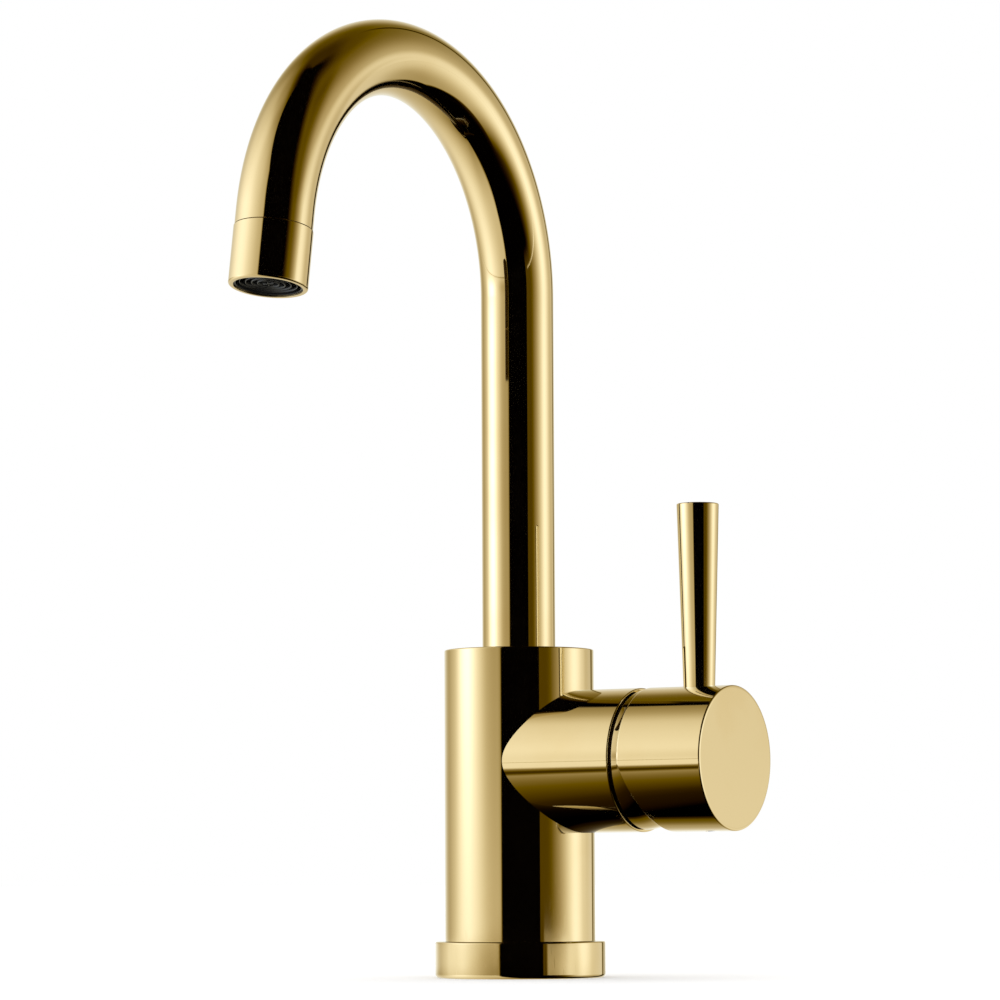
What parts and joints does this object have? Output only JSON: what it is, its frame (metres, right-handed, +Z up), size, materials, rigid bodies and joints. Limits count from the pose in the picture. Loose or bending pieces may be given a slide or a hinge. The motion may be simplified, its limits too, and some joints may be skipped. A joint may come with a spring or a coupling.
{
  "type": "basin mixer tap",
  "caption": "Tall basin mixer tap: round body on a base flange, swan-neck swivelling spout, and a side lever cap with an upright tapered rod.",
  "frame": {"origin": "centre of the body's underside, on the body's axis at deck level", "axes": "+Z up along the body's axis; -Y the way the spout points; +X along the lever's axis from the body to the cap's face"},
  "size_m": [0.1002, 0.1651, 0.2792],
  "materials": {
    "polished_gold": "mirror polished gold plating",
    "raw_brass": "turned",
    "steel": "plain stainless",
    "rubber": "matt",
    "black_plastic": "satin",
    "white_plastic": "satin",
    "grey_plastic": "satin",
    "ceramic": "lapped"
  },
  "bodies": {
    "body": {"body": "polished_gold", "base_flange": "polished_gold", "base_gasket": "rubber", "spout_washer": "white_plastic", "spout_lock_screw": "steel", "cartridge_base": "white_plastic", "base_seals": "rubber", "disc_seals": "rubber", "fixed_disc": "ceramic", "cartridge_housing": "grey_plastic", "cartridge_nut": "raw_brass", "temperature_stop": "black_plastic", "dome_ring": "polished_gold"},
    "spout": {"spout_tube": "polished_gold", "spout_foot": "raw_brass", "spout_oring_lower": "rubber", "spout_oring_upper": "rubber", "spout_glide_lower": "white_plastic", "spout_glide_upper": "white_plastic", "outlet_nipple": "raw_brass", "aerator_sleeve": "polished_gold", "aerator_seal": "rubber", "aerator_strainer": "steel", "flow_regulator": "grey_plastic", "aerator_face": "black_plastic"},
    "turner": {"turn_carrier": "white_plastic", "stem_pin": "steel"},
    "lever": {"stem": "steel", "lever_cap": "polished_gold", "lever_rod": "polished_gold", "lever_grub_screw": "steel"},
    "disc": {"moving_disc": "ceramic", "disc_slider": "grey_plastic"}
  },
  "joints": [
    {"name": "spout_swivel", "type": "hinge", "parent": "body", "child": "spout", "pos_m": [0, 0, 0.0981], "axis": [0, 0, 1], "range_deg": [-60, 60]},
    {"name": "lever_turn", "type": "hinge", "parent": "body", "child": "turner", "pos_m": [0.04246, 0, 0.0642], "axis": [1, 0, 0], "range_deg": [-45, 45]},
    {"name": "lever_tilt", "type": "hinge", "parent": "turner", "child": "lever", "pos_m": [0.04246, 0, 0.0642], "axis": [0, 1, 0], "range_deg": [0, 20]},
    {"name": "disc_slide", "type": "slide", "parent": "turner", "child": "disc", "axis": [0, 0, 1], "range_m": [0, 0.00502]}
  ],
  "couplings": [
    {"joint": "disc_slide", "follows": "lever_tilt", "m_per_rad": 0.014326}
  ]
}
